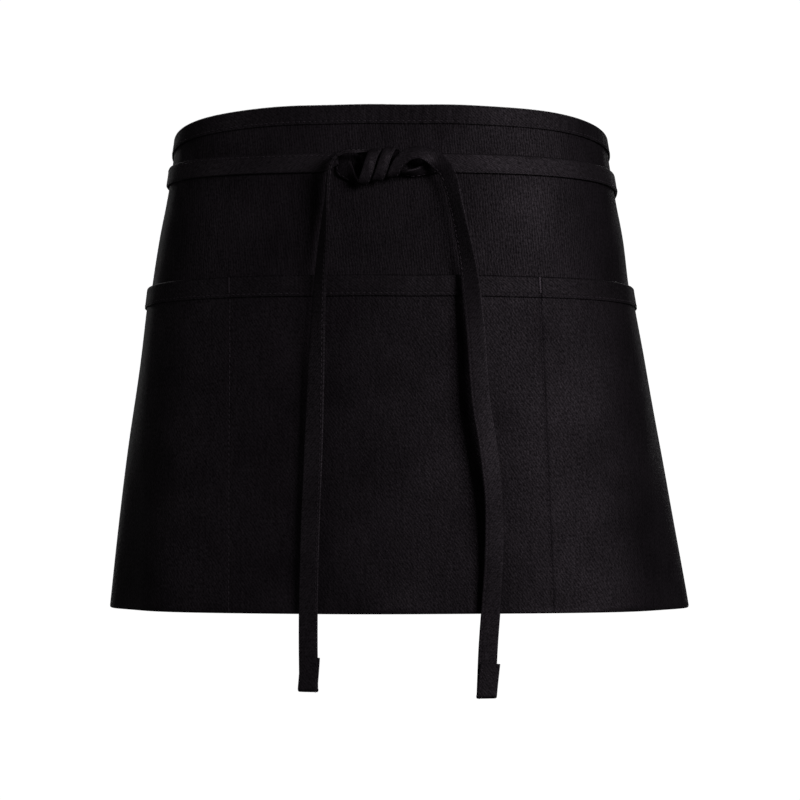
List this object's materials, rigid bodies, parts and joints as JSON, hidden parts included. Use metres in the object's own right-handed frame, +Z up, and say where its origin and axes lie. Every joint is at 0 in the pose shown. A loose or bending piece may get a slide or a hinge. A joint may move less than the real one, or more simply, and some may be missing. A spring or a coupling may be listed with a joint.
{
  "type": "waist apron",
  "caption": "Short waist apron of twill with a wide divided pocket, a bound top edge and flat ties wrapped round the waist and half knotted in front, in its worn form.",
  "frame": {"origin": "centre of the waist, level with the ties where they lie at the front", "axes": "+Z up, -Y towards the front of the apron, +X to the right of someone who looks at its front"},
  "size_m": [0.3619, 0.2328, 0.354],
  "materials": {
    "twill": "matt black twill",
    "binding": "matt black twill strip, folded and edge stitched"
  },
  "bodies": {
    "root": {"body_panel": "twill", "pocket_panel": "twill", "pocket_band": "binding", "waistband": "binding", "tie_left": "binding", "tie_right": "binding", "tail_left": "binding", "tail_right": "binding"}
  },
  "joints": []
}
